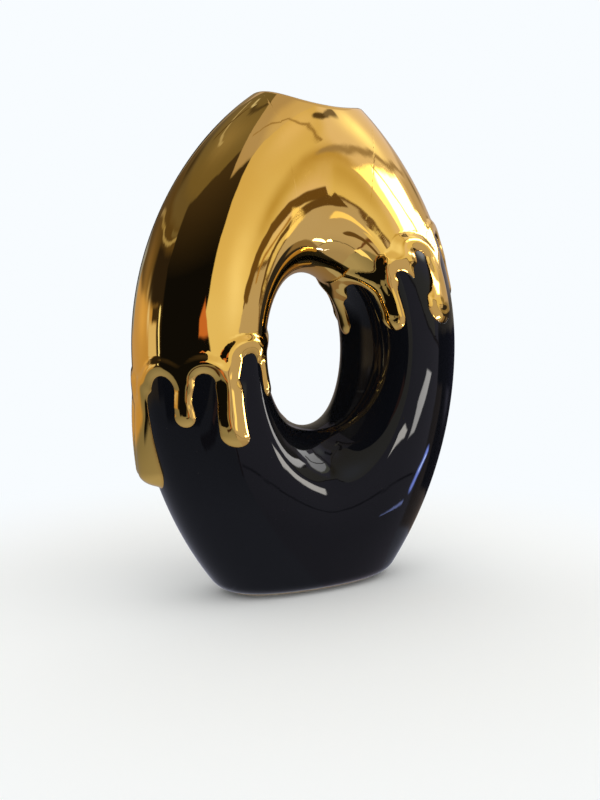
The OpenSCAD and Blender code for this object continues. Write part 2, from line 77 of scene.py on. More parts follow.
# The drips: w at the top, w at the tip, height of the tip's end in the same shares, shares of DRIP_W and
# of DRIP_T
LEFT_DRIPS = [
    [0.99, 1.02, -0.82, 1.7, 3], [-0.9, -0.9, -0.81, 1.7, 3], [0.69, 0.697, -0.442, 0.96, 1],
    [0.48, 0.5, -0.56, 1.05, 1.1], [0.27, 0.262, -0.281, 0.85, 0.9], [-0.02, -0.02, -0.479, 1, 1],
    [-0.27, -0.28, -0.296, 0.85, 0.9], [-0.5, -0.49, -0.601, 1.1, 1.1], [-0.75, -0.76, -0.403, 0.9, 0.9]]
RIGHT_DRIPS = [
    [-0.08, -0.08, 0.1, 1, 1], [0.255, 0.255, 0.115, 1.4, 1.2], [0.578, 0.57, 0.167, 1.65, 1.2],
    [0.87, 0.87, 0.359, 0.85, 0.9], [-0.93, -0.93, 0.085, 1.1, 1.05], [-0.70, -0.71, 0.283, 0.9, 0.95],
    [-0.50, -0.49, 0.024, 1.1, 1.05], [-0.28, -0.28, 0.207, 0.9, 0.95]]
# The round-topped gaps between them: w at the top, w at the foot, height of the top, share of GAP_W
LEFT_GAPS = [
    [0.795, 0.812, -0.157, 1.34], [0.583, 0.597, -0.142, 0.89], [0.387, 0.4, -0.031, 0.75],
    [0.12, 0.12, 0.02, 1.5], [-0.145, -0.145, 0, 1], [-0.385, -0.385, -0.08, 1],
    [-0.625, -0.625, -0.06, 1.2]]
RIGHT_GAPS = [
    [0.105, 0.105, 0.413, 1.45], [0.395, 0.41, 0.484, 0.75], [0.52, 0.505, 0.622, 0.55],
    [0.49, 0.48, 0.53, 0.75], [0.75, 0.75, 0.75, 1], [0.98, 0.98, 0.52, 0.9], [-0.82, -0.82, 0.5, 1],
    [-0.6, -0.6, 0.45, 0.9], [-0.39, -0.39, 0.4, 1], [-0.18, -0.18, 0.39, 0.9]]

# The meshes: columns from the hole's edge to the ridge and on to the outer edge, and rows for 100
# degrees of limb, of the seen layers and of the clay under them; rows across the mouth and the base
FINE_GRID, PLAIN_GRID = (27, 31, 118), (14, 16, 60)
MOUTH_ROWS, BASE_ROWS, LIP_STEPS = 56, 48, 10
# The cavity's columns to the ridge, on to the coat's band and across it, and its rows of limb and base
CAVITY_COLUMNS, CAVITY_LIMB_ROWS, CAVITY_BASE_ROWS = (12, 15, 6), 44, 30
# The longest mesh edges wanted: at the coat's edge, then how they grow with each millimetre from it
# and the most they reach, under the coat and under the glaze
SHORTEST, COAT_GROWTH, COAT_LONGEST, GLAZE_GROWTH, GLAZE_LONGEST = 0.55, 0.17, 2.7, 0.3, 3.2
# What counts as the same u, in degrees, and the same w
SAME_U, SAME_W = 1e-6, 1e-9
# How far from the coat's edge the materials can tell the distance
EDGE_REACH = 20.0

BASE_Z = FOOT_H + GLAZE_T
RIDGE_SIDE = SIDE_RIDGE_SHARE * (RING_W - HOLE_W) / 2
RIDGE_CROWN = CROWN_RIDGE_SHARE * (RIM_H - RIM_DIP - CENTRE_H - HOLE_H / 2)
RIDGE_KEEL = KEEL_RIDGE_SHARE * (CENTRE_H - BASE_Z - HOLE_H / 2)
CROWN_R = RIM_H - CENTRE_H + CROWN_OVER
KEEL_R = CENTRE_H - BASE_Z + KEEL_UNDER
HORN_A = math.degrees(math.asin((RIM_H - CENTRE_H) / CROWN_R))
TOE_A = math.degrees(math.asin((CENTRE_H - BASE_Z) / KEEL_R))
HORN_X = RING_W / 2 * math.cos(math.radians(HORN_A)) ** (2 * CROWN_POWER)
BASE_X = RING_W / 2 * math.cos(math.radians(TOE_A)) ** (2 * KEEL_POWER)
BASE_SHARE = (CENTRE_H - BASE_Z - HOLE_H / 2 - RIDGE_KEEL) / (KEEL_R - HOLE_H / 2 - RIDGE_KEEL)
BASE_Y = KEEL_D / 2 * (1 - BASE_SHARE ** SECTION_POWER) ** (1 / SECTION_POWER)


def quarter_arc(a, b):
    """About a quarter of an ellipse's length: pi/4 times the root of twice the squares' sum."""
    return math.pi / 4 * math.sqrt(2 * (a * a + b * b))


RIDGE_ARC = quarter_arc(RIDGE_SIDE, LIMB_D / 2)
LIMB_ARC = RIDGE_ARC + quarter_arc((RING_W - HOLE_W) / 2 - RIDGE_SIDE, LIMB_D / 2)
RIDGE_SHARE = RIDGE_ARC / LIMB_ARC
BAND_A = math.degrees(BAND_H / CROWN_R)
BAND_SHARE = BAND_H / (LIMB_ARC * (RIM_H - CENTRE_H) / CROWN_R)


def turned(w):
    """w brought back between -1 and 1."""
    return np.where(w > 1, w - 2, np.where(w < -1, w + 2, w))


def mixed(a, b, s):
    """a at s = 0, b at s = 1."""
    return a + (b - a) * s


def ray(u):
    """The ray at angle u: its start on the hole's ellipse, its whole run to the egg-shaped outline,
    the ridge's share of it, the half depth there, and the share of it where the rim's shallow
    parabola or the base's plane cuts it."""
    s, c = np.sin(np.radians(u)), np.cos(np.radians(u))
    up, k = s >= 0, s * s
    hx, hz = HOLE_W / 2 * c, CENTRE_H + HOLE_H / 2 * s
    dx = RING_W / 2 * np.sign(c) * np.abs(c) ** (2 * np.where(up, CROWN_POWER, KEEL_POWER)) - hx
    dz = (np.where(up, CROWN_R, KEEL_R) - HOLE_H / 2) * s
    ridge = mixed(RIDGE_SIDE, np.where(up, RIDGE_CROWN, RIDGE_KEEL), k) / np.hypot(dx, dz)
    deep = mixed(LIMB_D, np.where(up, CROWN_D, KEEL_D), k) / 2
    bend = RIM_DIP / (HORN_X * HORN_X)
    a, b = bend * dx * dx, 2 * bend * hx * dx - dz
    g = RIM_H - RIM_DIP + bend * hx * hx - hz
    root = b * b - 4 * a * g
    at_rim = np.where(root < 0, 1, 2 * g / (np.sqrt(np.maximum(root, 0)) - b + 1e-12))
    at_base = (BASE_Z - hz) / np.where(up, -1.0, np.minimum(dz, -1e-9))
    end = np.where(up, at_rim, at_base)
    return hx, hz, dx, dz, ridge, deep, np.where((end > 0) & (end < 1), end, 1)


def turn_at(u, w):
    """The angle round the section: 0 at the hole's edge, a quarter turn at the ridge, half a turn at
    the outer edge, less where the ray is cut short. The back half is negative."""
    v = turned(w)
    ridge, end = ray(u)[4], ray(u)[6]
    full = np.arcsin(np.clip((end - ridge) / (1 - ridge), 0, 1) ** (SECTION_POWER / 2))
    to_ridge = np.pi / 2 * np.minimum(1, np.abs(v) / RIDGE_SHARE)
    beyond = np.clip((np.abs(v) - RIDGE_SHARE) / (1 - RIDGE_SHARE), 0, 1)
    return np.sign(v) * (to_ridge + full * beyond)


def placed(u, turn):
    """The point at angle turn of the section, two quarters of an oval of power 2.2 on either side of
    the ridge: along the ray by -cos^e and in depth by sin^e, signs kept, with e = 2 / power. Near
    the base the point is pulled in by a quarter circle."""
    hx, hz, dx, dz, ridge, deep, _ = ray(u)
    e, c = 2 / SECTION_POWER, np.cos(turn)
    along = ridge - np.where(c > 0, ridge, ridge - 1) * np.abs(c) ** e
    across = deep * np.sign(np.sin(turn)) * np.abs(np.sin(turn)) ** e
    z = hz + dz * along
    lift = np.clip((z - BASE_Z) / BASE_EDGE_R, 0, 1)
    tuck = BASE_EDGE_R * (1 - np.sqrt(np.clip(1 - (1 - lift) ** 2, 0, 1)))
    return np.stack([(hx + dx * along) * (1 - tuck / BASE_X), -across * (1 - tuck / BASE_Y),
                     np.maximum(z, BASE_Z)], -1)


def skin(u, w):
    """A point of the bare clay's outer face."""
    return placed(u, turn_at(u, w))


def length(v):
    """Each vector's length."""
    return np.sqrt((v * v).sum(-1))


def outward(u, w, step_u=0.25, step=0.015):
    """The unit normal there: the cross product of the uncut surface's slopes along u and round the
    section. On the base's edge it points straight down."""
    base = (np.abs(w) > 1 - SAME_W) & (u > 180 + TOE_A - SAME_U) & (u < 360 - TOE_A + SAME_U)
    turn = turn_at(u, w)
    n = np.cross(placed(u + step_u, turn) - placed(u - step_u, turn),
                 placed(u, turn - step) - placed(u, turn + step))
    n /= length(n)[..., None]
    return np.where(base[..., None], [0, 0, -1], n)


def height_of(share):
    """The height at a share of the hole's height over its centre."""
    return CENTRE_H + share * HOLE_H


def coat(u, w):
    """How far a point lies from the coat's edge, less than zero under the coat, and how far the
    drips swell there. The sheet is level minus height and each drip is a round-ended strip; they
    are joined by -b ln(sum of exp(-distance / b)), which rounds the corners between them. The gaps
    are strips too, taken out by the same sum with its signs turned round."""
    p, v = skin(u, w), turned(w)
    edge, swell = np.zeros(v.shape), np.zeros(v.shape)
    for on, levels, drips, gaps in ((p[..., 0] < 0, LEFT_LEVELS, LEFT_DRIPS, LEFT_GAPS),
                                    (p[..., 0] >= 0, RIGHT_LEVELS, RIGHT_DRIPS, RIGHT_GAPS)):
        vv, z = v[on], p[on][:, 2]
        sheet = height_of(np.interp(vv, levels[:, 0], levels[:, 1])) - z

        def strip(row, low, high, stretch=1.0):
            """The share of the way down the strip and the distance from its middle line."""
            s = np.clip((high - z) / (high - low), 0, 1)
            beyond = (z - np.clip(z, low, high)) / stretch
            return s, np.hypot(LIMB_ARC * turned(vv - mixed(row[0], row[1], s)), beyond)

        total, rise = np.exp(-sheet / DRIP_BLEND), np.zeros(vv.shape)
        for row in drips:
            r = DRIP_W / 2 * row[3]
            level = height_of(np.interp(row[0], levels[:, 0], levels[:, 1]))
            s, d = strip(row, height_of(row[2]) + r, level + r)
            stretch = max(1, TIP_STRETCH / row[4])
            low = min(height_of(row[2]) + stretch * r, level)
            q = np.clip(1 - strip(row, low, level + r, stretch)[1] / r, 0, 1)
            total += np.exp(-(d - r * mixed(NECK_SHARE, 1, s)) / DRIP_BLEND)
            rise = np.maximum(rise, DRIP_T * row[4] * s * q * (2 - q))
        left_out = np.exp(-DRIP_BLEND * np.log(total) / GAP_BLEND)
        for row in gaps:
            r = GAP_W / 2 * row[3]
            level = height_of(np.interp(row[1], levels[:, 0], levels[:, 1]))
            left_out += np.exp((r - strip(row, level - r, height_of(row[2]) - r)[1]) / GAP_BLEND)
        edge[on], swell[on] = GAP_BLEND * np.log(left_out), rise
    return edge, swell


def coat_depth(s, swell):
    """The coat's thickness at a distance s inside its edge: a parabola up to the bead's top,
    then a power of a cosine down to the plain coat, or the drip's own round where that is thicker:
    b ln(sum of exp(thickness / b))."""
    bead = mixed(COAT_EDGE_T, BEAD_T, 1 - (1 - s / BEAD_W) ** 2)
    fall = np.clip((s - BEAD_W) / (FADE_SHARE * BEAD_W), 0, 1)
    fade = mixed(COAT_T, BEAD_T, np.clip(np.cos(np.pi / 2 * fall), 0, 1) ** FADE_POWER)
    flat = np.where(s < BEAD_W, bead, fade)
    return DEPTH_BLEND * np.log(np.exp(flat / DEPTH_BLEND) + np.exp(swell / DEPTH_BLEND) - 1)


def eased(a, b, n):
    """n places from a towards b, close together at both ends."""
    return mixed(a, b, (1 - np.cos(np.pi * np.arange(n) / n)) / 2)


def grid(limb_rows, mouth_rows, base_rows, half_w, ring_stops=()):
    """Rows round the ring and columns round the section, joined along the outer edge except where
    the mouth and the base cut it. Returns u, w, triangles, and the vertices of the front and back
    edges at the mouth and at the base."""
    stops = [180 - HORN_A] + [180 - a for a in ring_stops] + [180 + TOE_A]
    left = np.concatenate([np.linspace(a, b, max(2, round(limb_rows * (b - a) / 100)), endpoint=False)
                           for a, b in zip(stops[:-1], stops[1:])])
    right = 540 - np.concatenate([left[1:], [180 + TOE_A]])[::-1]
    lines = np.concatenate([eased(HORN_A, 180 - HORN_A, mouth_rows), left,
                            eased(180 + TOE_A, 360 - TOE_A, base_rows), right])
    columns = np.concatenate([half_w[::-1], -half_w[1:]])
    rows, cols = len(lines), len(columns) - 1
    toe = mouth_rows + len(left)
    u, w = np.meshgrid(lines, columns, indexing="ij")
    ids = np.arange(rows * (cols + 1)).reshape(rows, cols + 1)
    open_row = np.zeros(rows, bool)
    open_row[1:mouth_rows] = open_row[toe + 1:toe + base_rows] = True
    ids[~open_row, cols] = ids[~open_row, 0]
    ring = np.vstack([ids, ids[:1]])
    a, b, c, d = ring[:-1, :-1], ring[1:, :-1], ring[1:, 1:], ring[:-1, 1:]
    tris = np.concatenate([np.stack([a, b, c], -1).reshape(-1, 3), np.stack([a, c, d], -1).reshape(-1, 3)])
    mouth = [ring[:mouth_rows + 1, 0], ring[:mouth_rows + 1, cols]]
    base = [ring[toe:toe + base_rows + 1, 0], ring[toe:toe + base_rows + 1, cols]]
    return u.ravel(), w.ravel(), tris, mouth, base


def halfway(x, y, turn):
    """The middle of two places on a circle of the given turn."""
    low, high = np.minimum(x, y), np.maximum(x, y)
    return np.where(high - low > turn / 2, (low + high - turn) / 2, (low + high) / 2)


def edges_of(tris, n):
    """Each triangle's three edges as numbers into a list of edges, and that list."""
    pairs = np.sort(np.stack([tris, np.roll(tris, -1, 1)], -1), -1)
    keys, number = np.unique(pairs[..., 0] * n + pairs[..., 1], return_inverse=True)
    return number.reshape(-1, 3), np.stack([keys // n, keys % n], -1)


def wanted(edge):
    """The longest edge wanted at a distance from the coat's edge: short there, longer away."""
    under_coat = np.clip(SHORTEST - COAT_GROWTH * edge, SHORTEST, COAT_LONGEST)
    under_glaze = np.clip(SHORTEST + GLAZE_GROWTH * edge, SHORTEST, GLAZE_LONGEST)
    return np.where(edge < 0, under_coat, under_glaze)


def refined(u, w, tris, fixed, passes=6, spreads=40):
    """Splits each edge longer than is wanted there at its middle. A triangle with a split edge has
    its longest edge split too, so the triangles stay well shaped. Fixed edges stay whole."""
    for _ in range(passes):
        number, edges = edges_of(tris, len(u))
        p, (edge, _) = skin(u, w), coat(u, w)
        a, b = edges[:, 0], edges[:, 1]
        size = length(p[a] - p[b])
        closer = np.where(np.abs(edge[a]) < np.abs(edge[b]), edge[a], edge[b])
        size[fixed[a] & fixed[b]] = 0
        split = size > wanted(np.where(edge[a] * edge[b] < 0, 0, closer))
        longest = number[np.arange(len(tris)), np.argmax(size[number], 1)]
        for _ in range(spreads):
            more = split[number].any(1) & ~split[longest]
            if not more.any():
                break
            split[longest[more]] = True
        if not split.any():
            break
        middle = np.cumsum(split) - 1 + len(u)
        u = np.concatenate([u, halfway(u[a], u[b], 360)[split] % 360])
        w = np.concatenate([w, halfway(w[a], w[b], 2)[split]])
        fixed = np.concatenate([fixed, np.zeros(split.sum(), bool)])
        marks = split[number]
        count = marks.sum(1)
        out = [tris[count == 0]]
        for want in (1, 2, 3):
            pick = count == want
            t, m, k, g = tris[pick], marks[pick], middle[number[pick]], size[number[pick]]
            first = np.zeros(len(t), int)
            if want == 1:
                first = np.argmax(m, 1)
            elif want == 2:
                first = (np.argmin(m, 1) + 1) % 3
            order = (first[:, None] + np.arange(3)) % 3
            x, y, z = np.take_along_axis(t, order, 1).T
            xy, yz, zx = np.take_along_axis(k, order, 1).T
            g = np.take_along_axis(g, order, 1)
            if want == 1:
                out += [np.stack(s, -1) for s in ((x, xy, z), (xy, y, z))]
            elif want == 2:
                wide = (g[:, 0] >= g[:, 1])[:, None]
                out.append(np.stack([xy, y, yz], -1))
                out.append(np.where(wide, np.stack([xy, yz, z], -1), np.stack([x, xy, yz], -1)))
                out.append(np.where(wide, np.stack([x, xy, z], -1), np.stack([x, yz, z], -1)))
            else:
                out += [np.stack(s, -1) for s in ((x, xy, zx), (xy, y, yz), (zx, yz, z), (xy, yz, zx))]
        tris = np.concatenate(out)
    return u, w, tris


def settled(u, w, tris, rounds=4, step_u=0.02, step_w=0.0004, longest=0.8, least=0.2):
    """Moves the vertices next to the coat's edge onto it, straight across it, and tells which side
    each vertex is on: -1 under the coat, 0 on its edge, 1 under the glaze. Each round moves them by
    the distance, at most the longest, over the slope's square, at least the least."""
    _, edges = edges_of(tris, len(u))
    edge, _ = coat(u, w)
    a, b = edges[:, 0], edges[:, 1]
    across = edge[a] * edge[b] < 0
    moved = np.unique(np.where(np.abs(edge[a]) <= np.abs(edge[b]), a, b)[across])
    x, y = u[moved], w[moved]
    for _ in range(rounds):
        f, p = coat(x, y)[0], skin(x, y)
        per_u = length(skin(x + step_u, y) - p) / step_u
        per_w = length(skin(x, y + step_w) - p) / step_w
        slope_u = (coat(x + step_u, y)[0] - f) / step_u / per_u
        slope_w = (coat(x, y + step_w)[0] - f) / step_w / per_w
        step = np.clip(-f, -longest, longest) / np.maximum(slope_u * slope_u + slope_w * slope_w, least)
        x, y = x + step * slope_u / per_u, turned(y + step * slope_w / per_w)
    u, w = u.copy(), w.copy()
    u[moved], w[moved] = x, y
    side = np.sign(edge)
    side[moved] = 0
    return u, w, side


def loop_of(mouth):
    """The closed loop of vertices round the mouth, from its front and back edges."""
    front, back = mouth
    return np.concatenate([front, back[-2:0:-1]])


def lid(edge):
    """Triangles that close the gap between a front and a back edge."""
    front, back = edge
    f, g, r, s = front[:-1], front[1:], back[:-1], back[1:]
    t = np.concatenate([np.stack([g, f, r], -1), np.stack([g, r, s], -1)])
    return t[(t[:, 0] != t[:, 1]) & (t[:, 1] != t[:, 2]) & (t[:, 2] != t[:, 0])]


class Clay:
    """The whole surface of the hollow ring as one closed sheet: outer face, base, lip and cavity.
    Each vertex has a point on the clay, an outward normal, the thickness of what is fired onto it
    there and its distance from the coat's edge."""

    def __init__(self, fine):
        to_ridge, to_edge, limb_rows = FINE_GRID if fine else PLAIN_GRID
        spread = 1 - (1 - np.linspace(0, 1, to_edge)) ** 1.2
        half = np.concatenate([np.linspace(0, RIDGE_SHARE, to_ridge, endpoint=False),
                               mixed(RIDGE_SHARE, 1, spread)])
        u, w, tris, mouth, base = grid(limb_rows, MOUTH_ROWS, BASE_ROWS, half)
        fixed = np.zeros(len(u), bool)
        fixed[np.concatenate(mouth + base)] = True
        if fine:
            u, w, tris = refined(u, w, tris, fixed)
            u, w, side = settled(u, w, tris)
        else:
            side = np.sign(coat(u, w)[0])
        to_ridge, to_band, band_columns = CAVITY_COLUMNS
        inside = np.concatenate([np.linspace(0, RIDGE_SHARE, to_ridge, endpoint=False),
                                 np.linspace(RIDGE_SHARE, 1 - BAND_SHARE, to_band, endpoint=False),
                                 np.linspace(1 - BAND_SHARE, 1, band_columns)])
        cu, cw, ctris, cmouth, cbase = grid(CAVITY_LIMB_ROWS, MOUTH_ROWS, CAVITY_BASE_ROWS, inside,
                                            [HORN_A - BAND_A])
        loop, turn = loop_of(mouth), np.pi * np.arange(1, LIP_STEPS) / LIP_STEPS
        p, n = skin(u, w), outward(u, w)
        cp, cn = skin(cu, cw), outward(cu, cw)
        rim, rim_n = p[loop], n[loop]
        up = np.array([0, 0, 1.0]) - rim_n[:, 2:] * rim_n
        up /= length(up)[:, None]
        face = np.cos(turn)[:, None, None] * rim_n + np.sin(turn)[:, None, None] * up
        lip = rim - WALL / 2 * rim_n + WALL / 2 * face
        first_lip, first_cavity = len(u), len(u) + lip.size // 3
        lips = np.vstack([loop[None], first_lip + np.arange(lip.size // 3).reshape(lip.shape[:2]),
                          first_cavity + loop_of(cmouth)[None]])
        a, b = lips, np.roll(lips, -1, 1)
        lip_tris = np.concatenate([np.stack([b[:-1], a[:-1], a[1:]], -1).reshape(-1, 3),
                                   np.stack([b[:-1], a[1:], b[1:]], -1).reshape(-1, 3)])

        golden = side[tris].max(1) <= 0
        band = np.abs(cw) > 1 - BAND_SHARE - SAME_W
        band &= (cu > HORN_A - BAND_A - SAME_U) & (cu < 180 - HORN_A + BAND_A + SAME_U)
        in_band = band[ctris].all(1)
        band_tris = ctris[in_band][:, ::-1] + first_cavity
        self.coat_tris = np.concatenate([tris[golden], lip_tris, band_tris])
        self.glaze_tris = np.concatenate([tris[~golden], lid(base)])
        self.liner_tris = np.concatenate([ctris[~in_band], lid(cbase)])[:, ::-1] + first_cavity
        self.points = np.concatenate([p, lip.reshape(-1, 3), cp - WALL * cn])
        self.normals = np.concatenate([n, face.reshape(-1, 3), -cn])
        edge, swell = coat(u, w)
        rest = len(self.points) - len(u)
        s = np.where(side == 0, 0, np.maximum(-edge, 0))
        in_mouth = (u > HORN_A + SAME_U) & (u < 180 - HORN_A - SAME_U)
        depth = np.where(in_mouth, COAT_T, coat_depth(s, swell))
        low = band & ((np.abs(cw) < 1 - BAND_SHARE + SAME_W) | (cu < HORN_A - BAND_A + SAME_U)
                      | (cu > 180 - HORN_A + BAND_A - SAME_U))
        lip_depth = np.full(first_cavity - len(u), LIP_SHARE * COAT_T)
        self.depth = np.concatenate([depth, lip_depth, np.where(low, LINER_T, COAT_T)])
        self.edge = np.concatenate([np.where(side == 0, 0, edge), np.full(rest, -EDGE_REACH)])


def shell(points, normals, depth, tris):
    """A closed layer: the triangles raised by depth along the normals, the same triangles turned
    round on the clay, and a wall along each edge that only one of them has. Returns the vertices,
    faces, and for each vertex its number in the sheet."""
    used, t = np.unique(tris, return_inverse=True)
    t = t.reshape(-1, 3)
    n = len(used)
    top = points[used] + normals[used] * depth[used, None]
    a, b = t.ravel(), np.roll(t, -1, 1).ravel()
    alone = ~np.isin(a * n + b, b * n + a)
    a, b = a[alone], b[alone]
    walls = np.concatenate([np.stack([a + n, b + n, b], -1), np.stack([a + n, b, a], -1)])
    faces = np.concatenate([t, t[:, ::-1] + n, walls])
    return np.concatenate([top, points[used]]), faces, np.concatenate([used, used])


def mesh_object(name, points, faces):
    """A mesh object at the origin from arrays of points in millimetres and of faces."""
    mesh = bpy.data.meshes.new(name)
    mesh.vertices.add(len(points))
    mesh.vertices.foreach_set("co", (points * MM).astype(np.float32).ravel())
    mesh.loops.add(faces.size)
    mesh.loops.foreach_set("vertex_index", faces.astype(np.int32).ravel())
    mesh.polygons.add(len(faces))
    mesh.polygons.foreach_set("loop_start", np.arange(0, faces.size, faces.shape[1], dtype=np.int32))
    mesh.polygons.foreach_set("use_smooth", np.ones(len(faces), bool))
    mesh.update(calc_edges=True)
    piece = bpy.data.objects.new(name, mesh)
    bpy.context.scene.collection.objects.link(piece)
    return piece


def attribute(piece, name, values):
    """A number on each vertex that the materials can read."""
    made = piece.data.attributes.new(name, "FLOAT", "POINT")
    made.data.foreach_set("value", values.astype(np.float32))


# The finishes
class Number:
    """A shader value that can stand in a sum, which adds its Math nodes."""

    def __init__(self, look, socket):
        self.look, self.socket = look, socket

    def maths(self, operation, *others):
        return self.look.node("ShaderNodeMath", {"operation": operation}, dict(enumerate(others)))[0]

    def __add__(self, other):
        return self.maths("ADD", self, other)

    def __sub__(self, other):
        return self.maths("SUBTRACT", self, other)

    def __rsub__(self, other):
        return self.maths("SUBTRACT", other, self)

    def __mul__(self, other):
        return self.maths("MULTIPLY", self, other)

    def power(self, other):
        return self.maths("POWER", self, other)

    def biggest(self, other):
        return self.maths("MAXIMUM", self, other)

    def between(self, low, high):
        """0 at low, 1 at high, eased between."""
        settings = {"interpolation_type": "SMOOTHSTEP"}
        values = {0: self, 1: low, 2: high, 3: 0.0, 4: 1.0}
        return self.look.node("ShaderNodeMapRange", settings, values)[0]

    __radd__ = __add__
    __rmul__ = __mul__


class Look:
    """A procedural material, or the world's, with one method that adds a node."""

    def __init__(self, name, owner=None):
        self.owner = owner or bpy.data.materials.new(name)
        self.owner.use_nodes = True
        self.tree = self.owner.node_tree
        self.tree.nodes.clear()

    def node(self, kind, settings=None, values=None):
        """Adds a node: its settings first, then its inputs' values or links. Gives its outputs."""
        made = self.tree.nodes.new(kind)
        for key, value in (settings or {}).items():
            setattr(made, key, value)
        for key, value in (values or {}).items():
            if isinstance(value, Number):
                self.tree.links.new(value.socket, made.inputs[key])
            else:
                made.inputs[key].default_value = value
        return [Number(self, socket) for socket in made.outputs]

    def place(self):
        return self.node("ShaderNodeTexCoord")[3]

    def attribute(self, name):
        return self.node("ShaderNodeAttribute", {"attribute_name": name})[2]

    def noise(self, scale, detail=2.0, roughness=0.5, at=None):
        """Noise from 0 to 1 with features about 1 / scale metres wide."""
        values = {"Vector": at or self.place(), "Scale": scale, "Detail": detail, "Roughness": roughness}
        return self.node("ShaderNodeTexNoise", {}, values)[0]

    def mix(self, share, one, other):
        """One colour at share 0, the other at share 1."""
        settings = {"data_type": "RGBA"}
        return self.node("ShaderNodeMix", settings, {"Factor": share, 6: one, 7: other})[2]

    def bump(self, height):
        """A normal tilted by a height in metres."""
        return self.node("ShaderNodeBump", {}, {"Strength": 1.0, "Distance": 1.0, "Height": height})[0]

    def finish(self, kind, values):
        """The shader, joined to the material's output."""
        shader = self.node(kind, {}, values)[0]
        self.node("ShaderNodeOutputMaterial", {}, {"Surface": shader})
        return self.owner


def rgb(r, g, b):
    """A colour as linear shares of red, green and blue."""
    return (r, g, b, 1.0)


# The roughness of a fired gloss where it is clear, and what haze adds
CLEAR, HAZY = 0.025, 0.05


def gold_lustre():
    """Fired gold over a thick glaze: a mirror with slow waves, fine orange peel, a browner film where
    it thins at its edge, and a few soft hazy patches."""
    look = Look("gold_lustre")
    waves = look.noise(26) * (0.16 * MM) + look.noise(95, 1.5) * (0.02 * MM)
    peel = look.noise(700) * (0.0018 * MM)
    thin = look.attribute("edge").between(-1.6, 0.0)
    tone = look.mix(look.noise(14, 3.0).between(0.35, 0.7), rgb(1.0, 0.66, 0.175), rgb(0.97, 0.61, 0.14))
    colour = look.mix(thin * 0.4, tone, rgb(0.70, 0.36, 0.09))
    haze = look.noise(38, 4.0, 0.6).between(0.55, 0.8)
    return look.finish("ShaderNodeBsdfPrincipled", {
        "Base Color": colour, "Metallic": 1.0, "Roughness": haze * HAZY + CLEAR,
        "Normal": look.bump(waves + peel)})


def black_glaze():
    """Glossy black glaze: nearly black with a cool cast, slow waves, orange peel and pin-sized specks."""
    look = Look("black_glaze")
    waves = look.noise(30) * (0.07 * MM) + look.noise(150, 1.5) * (0.008 * MM)
    peel = look.noise(900) * (0.0012 * MM)
    speck = look.noise(420, 1.0).between(0.79, 0.84)
    tone = look.mix(look.noise(18, 3.0), rgb(0.0026, 0.003, 0.0044), rgb(0.0042, 0.0045, 0.006))
    colour = look.mix(speck * 0.5, tone, rgb(0.03, 0.027, 0.024))
    haze = look.noise(30, 4.0, 0.6).between(0.5, 0.8)
    return look.finish("ShaderNodeBsdfPrincipled", {
        "Base Color": colour, "Roughness": haze * HAZY + CLEAR, "Specular IOR Level": 0.23,
        "Normal": look.bump(waves + peel)})


def liner_glaze():
    """The glaze inside: poured, so it has broad runs down the wall and small pits."""
    look = Look("liner_glaze")
    stretched = look.node("ShaderNodeMapping", {}, {"Vector": look.place(), "Scale": (1.0, 1.0, 0.25)})[0]
    runs = look.noise(70, 3.0, at=stretched)
    pits = look.noise(520, 1.0).between(0.72, 0.8)
    colour = look.mix(runs, rgb(0.006, 0.0065, 0.008), rgb(0.016, 0.015, 0.015))
    return look.finish("ShaderNodeBsdfPrincipled", {
        "Base Color": colour, "Roughness": runs * 0.12 + 0.08, "Specular IOR Level": 0.4,
        "Normal": look.bump(runs * (0.25 * MM) - pits * (0.06 * MM))})


def bare_clay(name, worn):
    """Unglazed fired clay: cream, with grog grains and iron specks. A worn one is scuffed darker where
    it stands and darker towards its top, where it meets the glazed body."""
    look = Look(name)
    grain = look.noise(1500, 4.0, 0.65)
    patches = look.noise(90, 3.0)
    iron = look.noise(900, 1.0).between(0.70, 0.76)
    colour = look.mix(patches, rgb(0.66, 0.565, 0.44), rgb(0.56, 0.46, 0.34))
    colour = look.mix(iron * 0.7, colour, rgb(0.16, 0.09, 0.05))
    if worn:
        split = look.node("ShaderNodeSeparateXYZ", {}, {"Vector": look.place()})
        touched = 1.0 - split[2].between(0.0, 0.6 * MM)
        scuffs = touched * look.noise(300, 4.0, 0.7).between(0.4, 0.65)
        # Darker towards the top of the ring, where it meets the body
        darker_top = split[2].between(1.1 * MM, 2 * MM)
        colour = look.mix(scuffs * 0.6, colour, rgb(0.27, 0.23, 0.19))
        colour = look.mix(darker_top * 0.85, colour, rgb(0.05, 0.04, 0.035))
    return look.finish("ShaderNodeBsdfPrincipled", {
        "Base Color": colour, "Roughness": grain * 0.2 + 0.7, "Normal": look.bump(grain * (0.07 * MM))})


# The pieces
fine, plain = Clay(True), Clay(False)
layers = [
    ("gold_coat", "gold_drip_coat", "gold_lustre", fine.coat_tris, fine.depth, gold_lustre()),
    ("outer_glaze", "black_glaze", "black_glaze", fine.glaze_tris, np.full(len(fine.points), GLAZE_T),
     black_glaze()),
    ("inner_glaze", "liner_glaze", "liner_glaze", fine.liner_tris, np.full(len(fine.points), LINER_T),
     liner_glaze())]
for name, node, slot, tris, depth, finish in layers:
    points, faces, origin = shell(fine.points, fine.normals, depth, tris)
    piece = mesh_object(name, points, faces)
    attribute(piece, "edge", np.clip(fine.edge[origin], -EDGE_REACH, EDGE_REACH))
    piece.data.materials.append(finish)
    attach(piece, "root")
    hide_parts(node)
    print(name, len(faces), "triangles")

every = np.concatenate([plain.coat_tris, plain.glaze_tris, plain.liner_tris])
used, faces = np.unique(every, return_inverse=True)
clay = mesh_object("clay_ring", plain.points[used], faces.reshape(-1, 3))
clay.data.materials.append(bare_clay("fired_clay", False))
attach(clay, "root")
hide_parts("ceramic_body")


